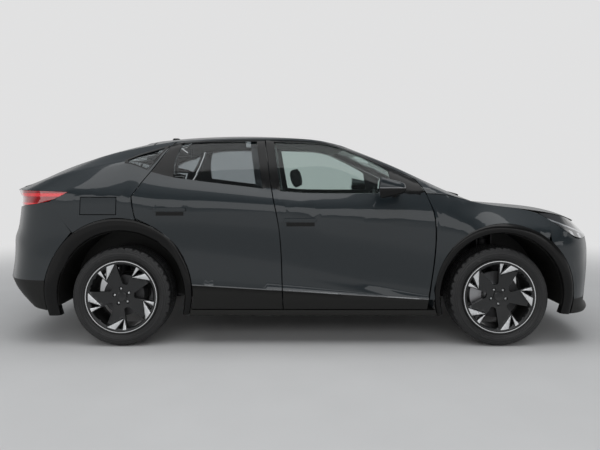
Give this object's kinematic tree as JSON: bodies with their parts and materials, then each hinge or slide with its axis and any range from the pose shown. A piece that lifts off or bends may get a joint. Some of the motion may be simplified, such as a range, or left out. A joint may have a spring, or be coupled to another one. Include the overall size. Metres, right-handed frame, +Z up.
{
  "type": "coupe sport utility vehicle",
  "caption": "Sport utility vehicle with a sloping coupe roof, hinged doors, bonnet, tailgate and charge flap, steered front wheels and free-rolling road wheels.",
  "frame": {"origin": "on the ground under the middle of the overall box", "axes": "+X forward along the car, +Y to its left, +Z up"},
  "size_m": [4.6436, 2.1046, 1.597],
  "materials": {
    "structure": "dull dark coat",
    "battery": "dark sealed case",
    "paint": "slate grey metallic under clear coat",
    "door_shell": "slate grey metallic, black below the trim line",
    "glass": "tinted glass",
    "gloss_black": "gloss black",
    "dark_plastic": "dark grained",
    "seat_cover": "dark upholstery",
    "lamp_clear": "clear cover",
    "lamp_red": "red cover",
    "cast_metal": "raw cast",
    "tyre": "matte rubber",
    "rim": "dark grey with machined spoke ends"
  },
  "bodies": {
    "body": {"floor_pan": "structure", "battery_pack": "battery", "side_frames": "structure", "bulkhead": "structure", "front_frame": "structure", "roof_panel": "paint", "windscreen": "glass", "front_wings": "paint", "quarter_panels": "paint", "quarter_glasses": "glass", "front_bumper": "paint", "front_grille": "gloss_black", "rear_bumper": "paint", "rear_diffuser": "gloss_black", "headlamps": "lamp_clear", "tail_lamps": "lamp_red", "arch_cladding": "gloss_black", "sill_cladding": "gloss_black", "wheel_liners": "dark_plastic", "front_arms": "structure", "rear_axle": "structure", "rear_motor": "cast_metal", "front_seats": "seat_cover", "rear_bench": "seat_cover", "dashboard": "dark_plastic", "door_hinges": "structure", "charge_bowl": "gloss_black"},
    "bonnet": {"bonnet": "paint"},
    "tailgate": {"tailgate": "paint", "tailgate_glass": "glass"},
    "steering_wheel": {"steering_wheel": "dark_plastic"},
    "charge_flap": {"charge_flap": "paint"},
    "door_front_left": {"door_front_left": "door_shell", "glass_front_left": "glass", "mirror_left": "paint"},
    "door_front_right": {"door_front_right": "door_shell", "glass_front_right": "glass", "mirror_right": "paint"},
    "door_rear_left": {"door_rear_left": "door_shell", "glass_rear_left": "glass"},
    "door_rear_right": {"door_rear_right": "door_shell", "glass_rear_right": "glass"},
    "knuckle_left": {"knuckle_left": "cast_metal"},
    "knuckle_right": {"knuckle_right": "cast_metal"},
    "wheel_front_left": {"tyre_front_left": "tyre", "rim_front_left": "rim"},
    "wheel_front_right": {"tyre_front_right": "tyre", "rim_front_right": "rim"},
    "wheel_rear_left": {"tyre_rear_left": "tyre", "rim_rear_left": "rim"},
    "wheel_rear_right": {"tyre_rear_right": "tyre", "rim_rear_right": "rim"}
  },
  "joints": [
    {"name": "door_front_left_hinge", "type": "hinge", "parent": "body", "child": "door_front_left", "pos_m": [0.89, 0.8845, 0.665], "axis": [0, 0, -1], "range_deg": [0, 68]},
    {"name": "door_rear_left_hinge", "type": "hinge", "parent": "body", "child": "door_rear_left", "pos_m": [-0.239, 0.8905, 0.665], "axis": [0, 0, -1], "range_deg": [0, 68]},
    {"name": "door_front_right_hinge", "type": "hinge", "parent": "body", "child": "door_front_right", "pos_m": [0.89, -0.8845, 0.665], "axis": [0, 0, 1], "range_deg": [0, 68]},
    {"name": "door_rear_right_hinge", "type": "hinge", "parent": "body", "child": "door_rear_right", "pos_m": [-0.239, -0.8905, 0.665], "axis": [0, 0, 1], "range_deg": [0, 68]},
    {"name": "bonnet_hinge", "type": "hinge", "parent": "body", "child": "bonnet", "pos_m": [1.4, 0, 1], "axis": [0, -1, 0], "range_deg": [0, 50]},
    {"name": "tailgate_hinge", "type": "hinge", "parent": "body", "child": "tailgate", "pos_m": [-1.232, 0, 1.5], "axis": [0, 1, 0], "range_deg": [0, 75]},
    {"name": "charge_flap_hinge", "type": "hinge", "parent": "body", "child": "charge_flap", "pos_m": [-1.367, -0.91766, 1.028], "axis": [0, 0, 1], "range_deg": [0, 80]},
    {"name": "steer_left", "type": "hinge", "parent": "body", "child": "knuckle_left", "pos_m": [1.452, 0.735, 0.362], "axis": [0, 0, 1], "range_deg": [-35, 35]},
    {"name": "roll_front_left", "type": "hinge", "parent": "knuckle_left", "child": "wheel_front_left", "pos_m": [1.452, 0.785, 0.362], "axis": [0, 1, 0], "continuous": true},
    {"name": "roll_rear_left", "type": "hinge", "parent": "body", "child": "wheel_rear_left", "pos_m": [-1.314, 0.785, 0.362], "axis": [0, 1, 0], "continuous": true},
    {"name": "steer_right", "type": "hinge", "parent": "body", "child": "knuckle_right", "pos_m": [1.452, -0.735, 0.362], "axis": [0, 0, 1], "range_deg": [-35, 35]},
    {"name": "roll_front_right", "type": "hinge", "parent": "knuckle_right", "child": "wheel_front_right", "pos_m": [1.452, -0.785, 0.362], "axis": [0, 1, 0], "continuous": true},
    {"name": "roll_rear_right", "type": "hinge", "parent": "body", "child": "wheel_rear_right", "pos_m": [-1.314, -0.785, 0.362], "axis": [0, 1, 0], "continuous": true},
    {"name": "steering_wheel_turn", "type": "hinge", "parent": "body", "child": "steering_wheel", "pos_m": [0.652, 0.37, 0.96], "axis": [-0.9135, 0, 0.4067], "range_deg": [-540, 540]}
  ],
  "couplings": [
    {"joint": "steer_right", "follows": "steer_left", "ratio": 1},
    {"joint": "steering_wheel_turn", "follows": "steer_left", "ratio": 15}
  ]
}
